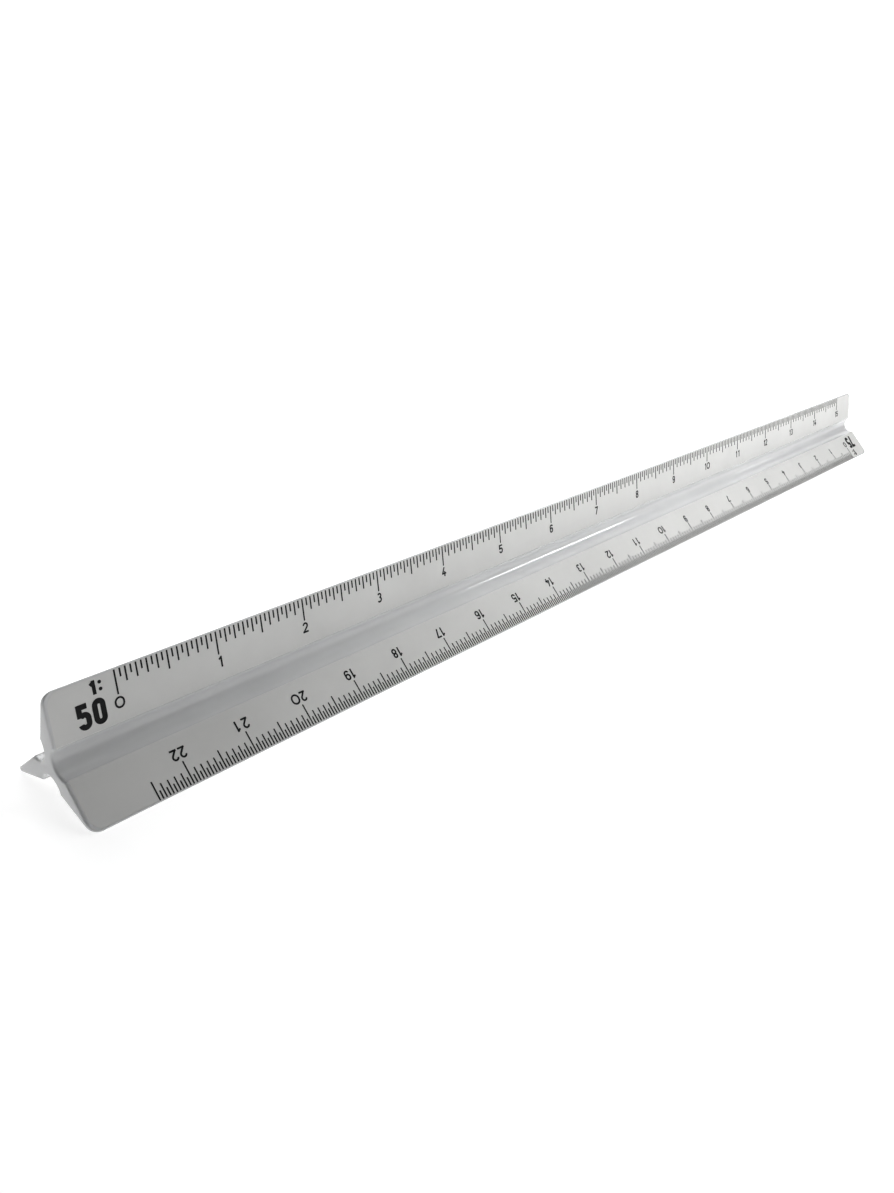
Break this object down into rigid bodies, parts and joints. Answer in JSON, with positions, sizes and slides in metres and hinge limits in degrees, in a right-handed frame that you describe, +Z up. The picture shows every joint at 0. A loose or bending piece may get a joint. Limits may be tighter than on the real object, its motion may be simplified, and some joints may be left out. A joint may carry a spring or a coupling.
{
  "type": "triangular scale ruler",
  "caption": "Straight white triangular architect's scale with fluted sides, rounded ends and printed reduction scales along its edges.",
  "frame": {"origin": "centre of the footprint, on the surface that the ruler stands on", "axes": "+X runs along the ruler, away from the zero line of the 1:50 scale; +Z is up through the top edge; -Y looks out of the side that carries 1:50 and 1:75"},
  "size_m": [0.325, 0.0234, 0.0204],
  "materials": {
    "body_plastic": "satin white moulding plastic",
    "facing_plastic": "fine matt, slightly warm white",
    "ink": "matt black print"
  },
  "bodies": {
    "root": {"core": "body_plastic", "facing_1_50": "facing_plastic", "facing_1_75": "facing_plastic", "facing_1_20": "facing_plastic", "facing_1_25": "facing_plastic", "facing_1_100": "facing_plastic", "facing_1_125": "facing_plastic", "graduations_1_50": "ink", "graduations_1_75": "ink", "graduations_1_20": "ink", "graduations_1_25": "ink", "graduations_1_100": "ink", "graduations_1_125": "ink", "numerals_1_50": "ink", "numerals_1_75": "ink", "numerals_1_20": "ink", "numerals_1_25": "ink", "numerals_1_100": "ink", "numerals_1_125": "ink", "ratio_mark_1_50": "ink", "ratio_mark_1_75": "ink", "ratio_mark_1_20": "ink", "ratio_mark_1_25": "ink", "ratio_mark_1_100": "ink", "ratio_mark_1_125": "ink"}
  },
  "joints": []
}
